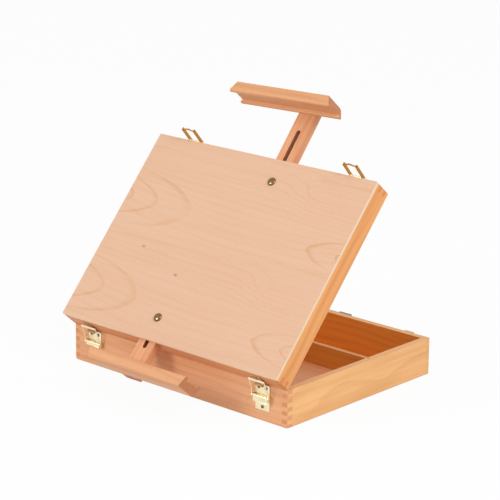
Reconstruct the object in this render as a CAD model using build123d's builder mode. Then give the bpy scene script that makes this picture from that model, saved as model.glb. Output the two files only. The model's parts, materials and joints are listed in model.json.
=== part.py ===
"""Table-top box easel: a finger-jointed box whose lid is the drawing board.

X runs to the right, Y to the back and Z up, and the origin is the centre of the box's underside.
The lid opens about the front edge of the rim.  A place on it is given as x, then s up the slope
from that edge, then t out through the board.  All sizes are millimetres and degrees.
"""
from math import asin, cos, degrees, radians, sin
import os

from build123d import *

os.makedirs("parts", exist_ok=True)

# Box
box_width = 400.0
box_depth = 298.0
wall_height = 53.0
wall = 9.5
finger_count = 9
corner_round = 3.2
foot_round = 3.0
floor_thickness = 4.0
rebate_depth = 4.0
panel_play = 0.3

# Long divider and the tray board in front of it
divider_thickness = 5.0
divider_behind_track = 2.6
divider_housing = 4.5
tray_thickness = 4.0
tray_drop = 29.7
tray_play = 0.5
cleat_width = 8.0
cleat_height = 9.0

# Lid
lid_angle = 49.0
lid_gap = 0.3
rail_height = 27.5
lid_finger_count = 5
panel_thickness = 3.5
lid_corner_round = 2.0

# Sliding arms behind the board
arm_width = 30.0
arm_thickness = 12.0
arm_play = 0.3
arm_end_round = 2.0
notch_play = 2.2
slot_width = 6.6
bolt_x = 34.0
bolt_inset = 34.0
mast_tilt = 1.75
mast_above = 125.5
mast_below = 174.0
mast_slot_above = 85.0
mast_slot_below = 159.0
ledge_arm_above = 181.0
ledge_arm_below = 88.5
ledge_slot_above = 166.0
ledge_slot_below = 45.6

# Grooved bars that hold the canvas
bar_depth = 36.0
bar_height = 15.75
bar_groove_depth = 4.25
bar_nose = 7.0
bar_lip = 5.0
bar_end_round = 0.6
bar_back_round = 4.5
bar_length = 180.0
clamp_flare = 8.0
clamp_offset = -30.4
clamp_above_mast = 1.0
ledge_flare = 5.0
ledge_offset = 34.0
ledge_below_arm = 0.9

# Carriage bolts, washers and wing nuts
bolt_diameter = 6.0
bolt_neck = 6.4
bolt_head_diameter = 15.5
bolt_head_height = 3.6
bolt_tail = 2.9
washer_diameter = 20.0
washer_thickness = 1.2
washer_play = 0.2
wing_bore_play = 0.05
wing_hub_diameter = 12.0
wing_hub_height = 8.0
wing_span = 29.0
wing_height = 11.0
wing_thickness = 2.6

# Draw latches: the pivot is where the lever and the bail turn
metal = 1.2
pivot_out = 4.2
pivot_rod = 2.4
pivot_play = 0.15
knuckle = 2.8
lever_drop = 8.5
short_lever_drop = 6.5
side_play = 0.3
base_above = 16.8
base_below = 5.0
tab_below = 19.2
base_fold = 2.6
bail_length = 26.0
bail_strap = 1.0
bail_depth = 4.0
bail_taper = 2.2
bail_bar = 2.6
latch_pivot_drop = 17.8
front_latch_from_side = 42.5
front_lever_width = 25.6
front_bail_lean = 20.0
rear_latch_from_right = 42.0
rear_latch_from_left = 62.0
rear_lever_width = 17.0
rear_latch_pivot_t = 21.0
rear_bail_lean = 172.0
rear_lever_open = 160.0
latch_screw_up = 11.8
latch_tab_screw_down = 14.5

# Catches that the bails hook on
catch_width = 15.0
catch_reach = 7.6
catch_lip = 2.3
catch_play = 0.5
catch_screw_from_hook = 13.4
catch_tail = 3.0

# Carrying handle
handle_rod = 4.0
handle_bar = 3.2
handle_grip = 5.6
handle_half_span = 30.0
handle_reach = 24.0
handle_pivot_drop = 2.6
handle_bend = 7.0
bracket_width = 20.0
bracket_gap = 1.5
bracket_height = 15.0
bracket_bore_play = 0.1
bracket_screw_up = 3.6
grip_shoulder = 0.4

# Folding stay at the left wall: a strut from the lid whose pin slides in a slotted track
stay_length = 76.0
stay_pivot_t = 12.0
stay_width = 12.0
stay_thickness = 2.0
stay_slope = 5.5
lid_least_angle = 0.0
lid_most_angle = 57.0
track_standoff = 4.0
track_thickness = 2.0
track_width = 14.0
track_foot = 13.0
stay_pin_diameter = 5.0
stay_pin_play = 0.3
stay_head_diameter = 8.0
stay_head_height = 1.4
stay_face_play = 0.3
stay_boss_diameter = 11.0
thumb_nut_diameter = 15.0
thumb_nut_height = 7.0
thumb_nut_ribs = 24
thumb_nut_rib = 0.5

# Small screws
screw_head = 4.2
screw_head_height = 1.0
screw_shank = 2.2
screw_length = 7.0
bar_screw_head = 7.0
bar_screw_shank = 3.5
bar_screw_length = 22.0
bar_screw_spread = 8.0

# Where things come to, worked out from the sizes above
inside_width = box_width - 2 * wall
inside_depth = box_depth - 2 * wall
floor_top = floor_thickness
tray_top = wall_height - tray_drop
lid_rise = sin(radians(lid_angle))
lid_run = cos(radians(lid_angle))
up_slope = Vector(0, lid_run, lid_rise)
out_of_board = Vector(0, -lid_rise, lid_run)
lid_hinge = Vector(0, -box_depth / 2, wall_height + lid_gap)
lid_thickness = rail_height + panel_thickness
arm_front = rail_height - arm_play
arm_back = arm_front - arm_thickness
washer_back = arm_back - washer_play - washer_thickness
upper_bolt_s = box_depth - bolt_inset
lower_bolt_s = bolt_inset
front_pivot_z = wall_height - latch_pivot_drop
front_latch_x = box_width / 2 - front_latch_from_side
rear_latch_right_x = box_width / 2 - rear_latch_from_right
rear_latch_left_x = rear_latch_from_left - box_width / 2

# The stay: the lid pivot lies as far from the hinge as the strut is long, and the slot points at
# the hinge, so the strut turns back twice as fast as the lid opens.
stay_pivot_s = (stay_length**2 - stay_pivot_t**2) ** 0.5
stay_lead = degrees(asin(stay_pivot_t / stay_length))


def stay_pin_reach(angle):
    """How far the pin lies from the hinge along the slot when the lid is open by an angle."""
    return 2 * stay_length * cos(radians(angle + stay_lead + stay_slope))


slot_first = stay_pin_reach(lid_most_angle) - stay_pin_diameter / 2 - stay_pin_play
slot_last = stay_pin_reach(lid_least_angle) + stay_pin_diameter / 2 + stay_pin_play
track_start = slot_first - stay_head_diameter / 2
track_end = slot_last + stay_head_diameter / 2
track_back = lid_hinge.Y + (track_end + track_foot) * cos(radians(stay_slope))
divider_front = track_back + divider_behind_track

# Faces of the box: x along the board, y up it, z out of it
front_face = Plane(origin=(0, -box_depth / 2, 0), x_dir=(1, 0, 0), z_dir=(0, -1, 0))
rear_face = Plane(origin=(0, box_depth / 2, 0), x_dir=(-1, 0, 0), z_dir=(0, 1, 0))
right_face = Plane(origin=(box_width / 2, 0, 0), x_dir=(0, 1, 0), z_dir=(1, 0, 0))
left_face = Plane(origin=(-box_width / 2, 0, 0), x_dir=(0, -1, 0), z_dir=(-1, 0, 0))

# The lid's own plane: x across, y up the slope, z out through the board
lid_plane = Plane(origin=lid_hinge, x_dir=(1, 0, 0), z_dir=out_of_board)


def on_plane(plane, x=0.0, y=0.0, z=0.0, turn=(0, 0, 0)):
    """The plane that stands at a place on another one, turned from it."""
    return Plane(plane.location * Location((x, y, z), turn))


def side_view(plane):
    """Looking along a plane's x: its y runs across and its z up."""
    return Plane(origin=plane.origin, x_dir=plane.y_dir, z_dir=plane.x_dir)


lid_front_face = Plane(origin=lid_hinge, x_dir=(1, 0, 0), z_dir=-up_slope)
lid_rear_face = Plane(origin=lid_hinge + up_slope * box_depth, x_dir=(-1, 0, 0), z_dir=up_slope)
lid_right_face = Plane(
    origin=on_plane(lid_plane, box_width / 2, box_depth / 2).origin, x_dir=up_slope, z_dir=(1, 0, 0)
)
lid_left_face = Plane(
    origin=on_plane(lid_plane, -box_width / 2, box_depth / 2).origin, x_dir=-up_slope, z_dir=(-1, 0, 0)
)

mast_plane = on_plane(lid_plane, bolt_x, upper_bolt_s, turn=(0, 0, mast_tilt))
ledge_plane = on_plane(lid_plane, -bolt_x, lower_bolt_s)


def save(builder, label):
    """Names a finished piece and writes it."""
    builder.part.label = label
    export_step(builder.part, f"parts/{label}.step")


def drill(face, points, diameter, depth):
    """Round holes in the part being built, from points on a face."""
    with BuildSketch(face) as holes:
        with Locations(*points):
            Circle(diameter / 2)
    extrude(holes.sketch, amount=-depth, mode=Mode.SUBTRACT)


def board_blank(face, length, height, fingers, first_notch):
    """A board with the notches of a finger joint at both ends, in the part being built."""
    pitch = height / fingers
    notches = [
        (side * (length - wall) / 2, (step + 0.5) * pitch)
        for side in (-1, 1)
        for step in range(first_notch, fingers, 2)
    ]
    with BuildSketch(face) as outline:
        with Locations((0, height / 2)):
            Rectangle(length, height)
        with Locations(*notches):
            Rectangle(wall, pitch, mode=Mode.SUBTRACT)
    extrude(outline.sketch, amount=-wall)


def block(plane, low, high, mode=Mode.ADD):
    """A block between two corners given on a plane, in the part being built."""
    with BuildSketch(on_plane(plane, z=low[2])) as footprint:
        with Locations(((low[0] + high[0]) / 2, (low[1] + high[1]) / 2)):
            Rectangle(high[0] - low[0], high[1] - low[1])
    extrude(footprint.sketch, amount=high[2] - low[2], mode=mode)


def round_screw(head, head_height, shank, length):
    """A screw with a domed head, standing on the XY plane with its shank below."""
    with BuildPart() as screw:
        with BuildSketch(Plane.XZ):
            with BuildLine():
                Line((0, -length), (shank / 2, -length + shank / 2))
                Line((shank / 2, -length + shank / 2), (shank / 2, 0))
                Line((shank / 2, 0), (head / 2, 0))
                Line((head / 2, 0), (head / 2, head_height * 0.3))
                TangentArc((0, head_height), (head / 2, head_height * 0.3), tangent=(1, 0))
                Line((0, head_height), (0, -length))
            make_face()
        revolve(axis=Axis.Z)
    return screw.part


def screw_group(label, screw, places):
    """Copies of one screw as a group of separate solids."""
    with BuildPart() as group:
        with Locations(*[place.location for place in places]):
            add(screw)
    save(group, label)


# Screw places on each face, as x and y on that face
plate_screws = [(-front_lever_width / 4, latch_screw_up), (front_lever_width / 4, latch_screw_up)]
latch_screws = {"left": plate_screws, "right": plate_screws + [(0, -latch_tab_screw_down)]}
rear_latch_screws = [(-rear_lever_width / 4, latch_screw_up), (rear_lever_width / 4, latch_screw_up)]

front_latch_places = {
    side: on_plane(front_face, x, front_pivot_z)
    for side, x in (("left", -front_latch_x), ("right", front_latch_x))
}
rear_latch_places = {
    side: Plane(
        origin=on_plane(lid_plane, x, box_depth, rear_latch_pivot_t).origin,
        x_dir=(1, 0, 0),
        z_dir=up_slope,
    )
    for side, x in (("left", rear_latch_left_x), ("right", rear_latch_right_x))
}

# Where a closed bail's bar lies past the seam, and so where each catch puts its hook
front_bar_past_seam = bail_length - latch_pivot_drop - lid_gap
rear_bar_past_seam = bail_length - rear_latch_pivot_t - lid_gap
front_hook = front_bar_past_seam - bail_bar / 2 - catch_play - metal
rear_hook = rear_bar_past_seam - bail_bar / 2 - catch_play - metal

front_catch_places = {
    side: Plane(
        origin=on_plane(lid_plane, x).origin, x_dir=(-1, 0, 0), z_dir=-up_slope
    )
    for side, x in (("left", -front_latch_x), ("right", front_latch_x))
}
rear_catch_places = {
    side: Plane(origin=(x, box_depth / 2, wall_height), x_dir=(-1, 0, 0), z_dir=(0, 1, 0))
    for side, x in (("left", rear_latch_left_x), ("right", rear_latch_right_x))
}
front_catch_screw = (0, -front_hook - catch_screw_from_hook)
rear_catch_screw = (0, -rear_hook - catch_screw_from_hook)

handle_pivot_out = handle_rod / 2 + metal + bracket_bore_play
handle_pivot_z = wall_height - handle_pivot_drop
bracket_inner = handle_half_span + bracket_gap + handle_rod / 2
bracket_screws = [
    (side * (bracket_inner + bracket_width / 2 + offset), handle_pivot_z - bracket_height + bracket_screw_up)
    for side in (-1, 1)
    for offset in (-bracket_width / 4, bracket_width / 4)
]

track_plane = Plane(
    origin=(-box_width / 2 + wall, lid_hinge.Y, lid_hinge.Z),
    x_dir=(0, cos(radians(stay_slope)), -sin(radians(stay_slope))),
    z_dir=(1, 0, 0),
)
track_screws = [(track_start - track_foot * 0.55, 0), (track_end + track_foot * 0.55, 0)]
stay_face = track_standoff + track_thickness + stay_face_play


# Sanded shape of the closed-up box carcass
with BuildPart() as sanded_box:
    with BuildSketch(Plane.XY):
        RectangleRounded(box_width, box_depth, corner_round)
    extrude(amount=wall_height)
    fillet(sanded_box.faces().sort_by(Axis.Z)[0].edges(), foot_round)

with BuildPart() as sanded_lid:
    with BuildSketch(on_plane(lid_plane, 0, box_depth / 2)):
        RectangleRounded(box_width, box_depth, lid_corner_round)
    extrude(amount=lid_thickness)


def floor_rebate():
    """Cuts the step in a wall's underside that the floor panel is let into."""
    reach_x = inside_width / 2 + rebate_depth
    reach_y = inside_depth / 2 + rebate_depth
    block(Plane.XY, (-reach_x, -reach_y, 0), (reach_x, reach_y, floor_top), Mode.SUBTRACT)


with BuildPart() as box_front_wall:
    board_blank(front_face, box_width, wall_height, finger_count, 1)
    add(sanded_box.part, mode=Mode.INTERSECT)
    floor_rebate()
    for side_name, place in front_latch_places.items():
        drill(place, latch_screws[side_name], screw_shank, screw_length)
save(box_front_wall, "box_front_wall")

with BuildPart() as box_rear_wall:
    board_blank(rear_face, box_width, wall_height, finger_count, 1)
    add(sanded_box.part, mode=Mode.INTERSECT)
    floor_rebate()
    for place in rear_catch_places.values():
        drill(place, [rear_catch_screw], screw_shank, screw_length)
    drill(rear_face, bracket_screws, screw_shank, screw_length)
save(box_rear_wall, "box_rear_wall")


def divider_slot(clearance, mode):
    """The divider's space from wall housing to wall housing, or the divider itself."""
    reach = inside_width / 2 + divider_housing - clearance
    block(
        Plane.XY,
        (-reach, divider_front, floor_top),
        (reach, divider_front + divider_thickness, wall_height),
        mode,
    )


with BuildPart() as box_right_wall:
    board_blank(right_face, box_depth, wall_height, finger_count, 0)
    add(sanded_box.part, mode=Mode.INTERSECT)
    floor_rebate()
    divider_slot(0.0, Mode.SUBTRACT)
save(box_right_wall, "box_right_wall")

with BuildPart() as box_left_wall:
    board_blank(left_face, box_depth, wall_height, finger_count, 0)
    add(sanded_box.part, mode=Mode.INTERSECT)
    floor_rebate()
    divider_slot(0.0, Mode.SUBTRACT)
    drill(track_plane, track_screws, screw_shank, screw_length)
save(box_left_wall, "box_left_wall")

with BuildPart() as box_floor:
    with BuildSketch(Plane.XY):
        Rectangle(
            inside_width + 2 * (rebate_depth - panel_play), inside_depth + 2 * (rebate_depth - panel_play)
        )
    extrude(amount=floor_thickness)
save(box_floor, "box_floor")

with BuildPart() as long_divider:
    divider_slot(panel_play, Mode.ADD)
save(long_divider, "long_divider")

with BuildPart() as tray_cleats:
    for side in (-1, 1):
        edges = sorted((side * inside_width / 2, side * (inside_width / 2 - cleat_width)))
        block(
            Plane.XY,
            (edges[0], -inside_depth / 2, tray_top - tray_thickness - cleat_height),
            (edges[1], divider_front, tray_top - tray_thickness),
        )
save(tray_cleats, "tray_cleats")

with BuildPart() as tray_board:
    block(
        Plane.XY,
        (-inside_width / 2 + tray_play, -inside_depth / 2 + tray_play, tray_top - tray_thickness),
        (inside_width / 2 - tray_play, divider_front - tray_play, tray_top),
    )
save(tray_board, "tray_board")


def arm_notch(face, x):
    """The notch in a lid rail that a sliding arm passes through."""
    half = arm_width / 2 + notch_play
    block(face, (x - half, arm_back - arm_play, -wall), (x + half, rail_height, 0), Mode.SUBTRACT)


with BuildPart() as lid_front_rail:
    board_blank(lid_front_face, box_width, rail_height, lid_finger_count, 0)
    add(sanded_lid.part, mode=Mode.INTERSECT)
    arm_notch(lid_front_face, -bolt_x)
    for place in front_catch_places.values():
        drill(place, [front_catch_screw], screw_shank, screw_length)
save(lid_front_rail, "lid_front_rail")

with BuildPart() as lid_rear_rail:
    board_blank(lid_rear_face, box_width, rail_height, lid_finger_count, 0)
    add(sanded_lid.part, mode=Mode.INTERSECT)
    mast_x_at_rail = bolt_x - (bolt_inset - wall / 2) * sin(radians(mast_tilt))
    arm_notch(lid_rear_face, -mast_x_at_rail)
    for place in rear_latch_places.values():
        drill(place, rear_latch_screws, screw_shank, screw_length)
save(lid_rear_rail, "lid_rear_rail")

stay_boss_place = Plane(
    origin=on_plane(lid_plane, -box_width / 2 + wall, stay_pivot_s, stay_pivot_t).origin,
    x_dir=up_slope,
    z_dir=(1, 0, 0),
)

with BuildPart() as lid_left_rail:
    board_blank(lid_left_face, box_depth, rail_height, lid_finger_count, 1)
    add(sanded_lid.part, mode=Mode.INTERSECT)
    drill(stay_boss_place, [(0, 0)], stay_pin_diameter, screw_length)
save(lid_left_rail, "lid_left_rail")

with BuildPart() as lid_right_rail:
    board_blank(lid_right_face, box_depth, rail_height, lid_finger_count, 1)
    add(sanded_lid.part, mode=Mode.INTERSECT)
save(lid_right_rail, "lid_right_rail")

with BuildPart() as drawing_panel:
    with BuildSketch(on_plane(lid_plane, 0, box_depth / 2, rail_height)):
        RectangleRounded(box_width, box_depth, lid_corner_round)
        with Locations(
            (bolt_x, upper_bolt_s - box_depth / 2), (-bolt_x, lower_bolt_s - box_depth / 2)
        ):
            Rectangle(bolt_neck, bolt_neck, mode=Mode.SUBTRACT)
    extrude(amount=panel_thickness)
save(drawing_panel, "drawing_panel")


def carriage_bolt(at, label):
    """A domed bolt through the board, with a square neck that keeps it from turning."""
    with BuildPart() as bolt:
        with BuildSketch(side_view(on_plane(at, z=lid_thickness))) as dome:
            with BuildLine():
                Line((0, 0), (bolt_head_diameter / 2, 0))
                Line((bolt_head_diameter / 2, 0), (bolt_head_diameter / 2, bolt_head_height * 0.2))
                TangentArc(
                    (0, bolt_head_height), (bolt_head_diameter / 2, bolt_head_height * 0.2), tangent=(1, 0)
                )
                Line((0, bolt_head_height), (0, 0))
            make_face()
        revolve(dome.sketch, axis=Axis(at.origin, at.z_dir))
        half_neck = bolt_neck / 2
        block(at, (-half_neck, -half_neck, rail_height), (half_neck, half_neck, lid_thickness))
        with BuildSketch(on_plane(at, z=bolt_tail)) as shank:
            Circle(bolt_diameter / 2)
        extrude(shank.sketch, amount=rail_height - bolt_tail)
    save(bolt, label)


carriage_bolt(on_plane(lid_plane, bolt_x, upper_bolt_s), "upper_carriage_bolt")
carriage_bolt(on_plane(lid_plane, -bolt_x, lower_bolt_s), "lower_carriage_bolt")


def slotted_arm(at, above, below, slot_above, slot_below, bar_y, label):
    """A flat arm with a long slot for the bolt, drilled where its bar is screwed on."""
    with BuildPart() as arm:
        with BuildSketch(on_plane(at, z=arm_back)) as outline:
            with Locations((0, (above - below) / 2)):
                RectangleRounded(arm_width, above + below, arm_end_round)
            with Locations((0, (slot_above - slot_below) / 2)):
                SlotOverall(slot_above + slot_below, slot_width, rotation=90, mode=Mode.SUBTRACT)
        extrude(outline.sketch, amount=arm_thickness)
        drill(
            on_plane(at, z=arm_front),
            [(-bar_screw_spread, bar_y), (bar_screw_spread, bar_y)],
            bar_screw_shank,
            arm_thickness,
        )
    save(arm, label)


def grooved_bar(at, flare, screw_x, label):
    """A moulded bar: x along it, y from its outer edge to the canvas, z out from its arm.

    A wide flat groove between a thin back lip and a thick rounded nose takes the canvas edge.
    """
    outer_length = bar_length - 2 * flare
    nose_back = bar_depth - bar_nose
    groove_floor = bar_height - bar_groove_depth
    corners = [
        (0, 0), (bar_height, 0), (bar_height, bar_lip), (groove_floor, bar_lip),
        (groove_floor, nose_back), (bar_height, nose_back), (bar_height, bar_depth), (0, bar_depth),
    ]
    rounds = [bar_back_round, 1.0, 1.6, 1.2, 1.0, 2.8, 3.2, 1.2]
    with BuildPart() as bar:
        with BuildSketch(side_view(at)) as section:
            with BuildLine():
                FilletPolyline(*corners, radius=rounds, close=True)
            make_face()
        extrude(section.sketch, amount=bar_length / 2, both=True)
        with BuildSketch(at) as plan:
            with BuildLine():
                Polyline(
                    (-outer_length / 2, 0), (outer_length / 2, 0),
                    (bar_length / 2, bar_height), (-bar_length / 2, bar_height),
                    close=True,
                )
            make_face()
        extrude(plan.sketch, amount=bar_depth, mode=Mode.INTERSECT)
        ends = bar.faces().sort_by(Axis.X)
        fillet(ends[0].edges() + ends[-1].edges(), bar_end_round)
        drill(
            Plane(origin=at.origin, x_dir=at.x_dir, z_dir=-at.z_dir),
            [
                (screw_x - bar_screw_spread, -groove_floor / 2),
                (screw_x + bar_screw_spread, -groove_floor / 2),
            ],
            bar_screw_shank,
            bar_screw_length - arm_thickness,
        )
    save(bar, label)


clamp_y = mast_above + clamp_above_mast
ledge_y = -ledge_arm_below - ledge_below_arm
bar_screw_y = (bar_height - bar_groove_depth) / 2
clamp_place = on_plane(mast_plane, clamp_offset, clamp_y, arm_front, (0, 0, 180))
ledge_place = on_plane(ledge_plane, ledge_offset, ledge_y, arm_front)

slotted_arm(
    mast_plane, mast_above, mast_below, mast_slot_above, mast_slot_below, clamp_y - bar_screw_y, "upper_mast"
)
slotted_arm(
    ledge_plane, ledge_arm_above, ledge_arm_below, ledge_slot_above, ledge_slot_below,
    ledge_y + bar_screw_y, "lower_arm",
)
grooved_bar(clamp_place, clamp_flare, clamp_offset, "top_clamp")
grooved_bar(ledge_place, ledge_flare, -ledge_offset, "canvas_ledge")

bar_screw = round_screw(bar_screw_head, screw_head_height * 1.6, bar_screw_shank, bar_screw_length)


def behind_arm(at, x, y):
    """A place on the back of an arm, facing away from the board."""
    place = on_plane(at, x, y, arm_back)
    return Plane(origin=place.origin, x_dir=place.x_dir, z_dir=-place.z_dir)


screw_group(
    "clamp_screws",
    bar_screw,
    [behind_arm(mast_plane, side * bar_screw_spread, clamp_y - bar_screw_y) for side in (-1, 1)],
)
screw_group(
    "ledge_screws",
    bar_screw,
    [behind_arm(ledge_plane, side * bar_screw_spread, ledge_y + bar_screw_y) for side in (-1, 1)],
)


def bolt_washer(at, label):
    """The flat washer between an arm and its wing nut."""
    with BuildPart() as washer:
        with BuildSketch(on_plane(at, z=washer_back)) as ring:
            Circle(washer_diameter / 2)
            Circle(bolt_diameter / 2 + washer_play, mode=Mode.SUBTRACT)
        extrude(ring.sketch, amount=washer_thickness)
    save(washer, label)


def wing_nut(at, label):
    """A wing nut under its washer: a tapered hub and two wings that flare away from the board."""
    face = on_plane(at, z=washer_back - washer_play)
    with BuildPart() as nut:
        with BuildSketch(side_view(face)) as hub:
            with BuildLine():
                Polyline(
                    (0, 0), (wing_hub_diameter / 2, 0),
                    (wing_hub_diameter / 2 - 1.2, -wing_hub_height), (0, -wing_hub_height),
                    close=True,
                )
            make_face()
        revolve(hub.sketch, axis=Axis(face.origin, face.z_dir))
        with BuildSketch(side_view(face)) as wings:
            for side in (-1, 1):
                with BuildLine():
                    Spline(
                        (0, -1.0),
                        (side * wing_span * 0.33, -2.6),
                        (side * wing_span / 2, -wing_height * 0.72),
                    )
                    ThreePointArc(
                        (side * wing_span / 2, -wing_height * 0.72),
                        (side * wing_span * 0.47, -wing_height * 0.97),
                        (side * wing_span * 0.38, -wing_height),
                    )
                    Spline(
                        (side * wing_span * 0.38, -wing_height),
                        (side * wing_span * 0.25, -wing_hub_height * 0.9),
                        (0, -wing_hub_height * 0.8),
                    )
                    Line((0, -wing_hub_height * 0.8), (0, -1.0))
                make_face()
        extrude(wings.sketch, amount=wing_thickness / 2, both=True)
        drill(face, [(0, 0)], bolt_diameter + 2 * wing_bore_play, wing_hub_height * 2)
    save(nut, label)


for bolt_name, bolt_plane in (("upper", mast_plane), ("lower", ledge_plane)):
    bolt_washer(bolt_plane, f"{bolt_name}_washer")
    wing_nut(bolt_plane, f"{bolt_name}_wing_nut")


def latch_base(at, lever_width, tab, screws, label):
    """The plate of a draw latch: y runs to the catch, z out of the wood.

    Two folded ears carry the pivot rod, and the edge near the catch is folded up to stiffen it.
    """
    ear_in = lever_width / 2 + side_play
    ear_out = ear_in + metal
    plate_half = lever_width / 2 - metal / 2
    rod_half = ear_out + side_play + bail_strap + side_play
    with BuildPart() as base:
        block(at, (-plate_half, 0, 0), (plate_half, base_above, metal))
        block(at, (-ear_out, -base_below, 0), (ear_out, knuckle, metal))
        block(at, (-plate_half, base_above - metal, 0), (plate_half, base_above, base_fold))
        if tab:
            block(at, (-plate_half, -tab_below, 0), (plate_half, 0, metal))
        for side in (-1, 1):
            with BuildSketch(side_view(on_plane(at, side * (ear_in + ear_out) / 2))) as ear:
                with Locations((0, pivot_out)):
                    Circle(knuckle)
                with Locations(((knuckle - base_below) / 2, metal + (pivot_out - metal) / 2)):
                    Rectangle(base_below + knuckle, pivot_out - metal)
            extrude(ear.sketch, amount=metal / 2, both=True)
        with BuildSketch(side_view(at)) as rod:
            with Locations((0, pivot_out)):
                Circle(pivot_rod / 2)
        extrude(rod.sketch, amount=rod_half, both=True)
        drill(on_plane(at, z=metal), screws, screw_shank, metal)
    save(base, label)


def latch_lever(at, lever_width, drop, opened, label):
    """The lever of a draw latch, curled round the pivot rod, with a turned-up finger lip."""
    pivot = on_plane(at, 0, 0, pivot_out, (-opened, 0, 0))
    with BuildPart() as lever:
        with BuildSketch(side_view(pivot)) as section:
            Circle(knuckle)
            with Locations((-drop / 2, knuckle - metal / 2)):
                Rectangle(drop, metal)
            with Locations((-drop + metal / 2, knuckle)):
                Rectangle(metal, metal * 1.4)
            Circle(pivot_rod / 2 + pivot_play, mode=Mode.SUBTRACT)
        extrude(section.sketch, amount=lever_width / 2, both=True)
        fillet(lever.edges().filter_by(Axis.X).group_by(SortBy.LENGTH)[-1].sort_by(
            Axis(pivot.origin, -pivot.y_dir))[-2:], metal * 0.4)
    save(lever, label)


def latch_bail(at, lever_width, lean, label):
    """The bail: a folded strap whose arms swing outside the ears, with the bar that hooks on."""
    arm_in = lever_width / 2 + side_play + metal + side_play
    arm_out = arm_in + bail_strap
    pivot = on_plane(at, 0, 0, pivot_out, (lean, 0, 0))
    shoulder = lever_drop + metal
    waist = shoulder + bail_taper * 2
    with BuildPart() as bail:
        for side in (-1, 1):
            with BuildSketch(pivot) as strap:
                with BuildLine():
                    Polyline(
                        (side * arm_in, -knuckle), (side * arm_out, -knuckle),
                        (side * arm_out, shoulder), (side * (arm_out - bail_taper), waist),
                        (side * (arm_out - bail_taper), bail_length + bail_bar / 2),
                        (side * (arm_in - bail_taper), bail_length + bail_bar / 2),
                        (side * (arm_in - bail_taper), waist), (side * arm_in, shoulder),
                        close=True,
                    )
                make_face()
            extrude(strap.sketch, amount=bail_depth / 2, both=True)
        with BuildSketch(side_view(pivot)) as outline:
            Circle(knuckle)
            with Locations((bail_length, 0)):
                Circle(bail_bar / 2)
            with Locations((bail_length / 2, 0)):
                Rectangle(bail_length, bail_depth * 0.75)
        extrude(outline.sketch, amount=arm_out, both=True, mode=Mode.INTERSECT)
        with BuildSketch(side_view(pivot)) as bar:
            with Locations((bail_length, 0)):
                Circle(bail_bar / 2)
        extrude(bar.sketch, amount=arm_out - bail_taper, both=True)
        with BuildSketch(side_view(pivot)) as bore:
            Circle(pivot_rod / 2 + pivot_play)
        extrude(bore.sketch, amount=arm_out, both=True, mode=Mode.SUBTRACT)
    save(bail, label)


front_lever_drops = {"left": short_lever_drop, "right": lever_drop}
for side_name, place in front_latch_places.items():
    has_tab = side_name == "right"
    screws = latch_screws[side_name]
    latch_base(place, front_lever_width, has_tab, screws, f"front_latch_base_{side_name}")
    latch_lever(place, front_lever_width, front_lever_drops[side_name], 0.0, f"front_latch_lever_{side_name}")
    latch_bail(place, front_lever_width, front_bail_lean, f"front_latch_bail_{side_name}")
for side_name, place in rear_latch_places.items():
    latch_base(place, rear_lever_width, False, rear_latch_screws, f"rear_latch_base_{side_name}")
    latch_lever(place, rear_lever_width, lever_drop, rear_lever_open, f"rear_latch_lever_{side_name}")
    latch_bail(place, rear_lever_width, rear_bail_lean, f"rear_latch_bail_{side_name}")


def catch(at, hook, lip, label):
    """The plate that a bail's bar hooks on: y runs to the latch and z out of the wood."""
    tail = -hook - catch_screw_from_hook - catch_tail
    shelf = (-hook - metal, -hook)
    with BuildPart() as plate:
        half = catch_width / 2
        block(at, (-half, tail, 0), (half, -hook, metal))
        block(at, (-half, shelf[0], 0), (half, shelf[1], catch_reach))
        if lip:
            block(at, (-half, shelf[0] - lip, catch_reach - metal), (half, shelf[1], catch_reach))
        drill(on_plane(at, z=metal), [(0, -hook - catch_screw_from_hook)], screw_shank, metal)
    save(plate, label)


for side_name in ("left", "right"):
    catch(front_catch_places[side_name], front_hook, catch_lip, f"front_catch_{side_name}")
    catch(rear_catch_places[side_name], rear_hook, 0.0, f"rear_catch_{side_name}")

small_screw = round_screw(screw_head, screw_head_height, screw_shank, screw_length + metal)
screw_group(
    "front_latch_screws",
    small_screw,
    [
        on_plane(at, x, y, metal)
        for side_name, at in front_latch_places.items()
        for x, y in latch_screws[side_name]
    ],
)
screw_group(
    "rear_latch_screws",
    small_screw,
    [on_plane(at, x, y, metal) for at in rear_latch_places.values() for x, y in rear_latch_screws],
)
screw_group(
    "front_catch_screws",
    small_screw,
    [on_plane(at, *front_catch_screw, metal) for at in front_catch_places.values()],
)
screw_group(
    "rear_catch_screws",
    small_screw,
    [on_plane(at, *rear_catch_screw, metal) for at in rear_catch_places.values()],
)
screw_group(
    "handle_screws", small_screw, [on_plane(rear_face, x, y, metal) for x, y in bracket_screws]
)

for side_name, side in (("left", 1), ("right", -1)):
    middle = side * (bracket_inner + bracket_width / 2)
    at = on_plane(rear_face, middle, handle_pivot_z)
    barrel = handle_rod / 2 + bracket_bore_play + metal
    with BuildPart() as bracket:
        half = bracket_width / 2
        block(at, (-half, -bracket_height, 0), (half, 0, metal))
        with BuildSketch(side_view(at)) as curl:
            with Locations((0, handle_pivot_out)):
                Circle(barrel)
            with Locations((-barrel / 2, handle_pivot_out / 2)):
                Rectangle(barrel, handle_pivot_out)
        extrude(curl.sketch, amount=half, both=True)
        with BuildSketch(side_view(at)) as bore:
            with Locations((0, handle_pivot_out)):
                Circle(barrel - metal)
        extrude(bore.sketch, amount=half, both=True, mode=Mode.SUBTRACT)
        screw_y = bracket_screw_up - bracket_height
        drill(on_plane(at, z=metal), [(-half / 2, screw_y), (half / 2, screw_y)], screw_shank, metal)
    save(bracket, f"handle_bracket_{side_name}")

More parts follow.
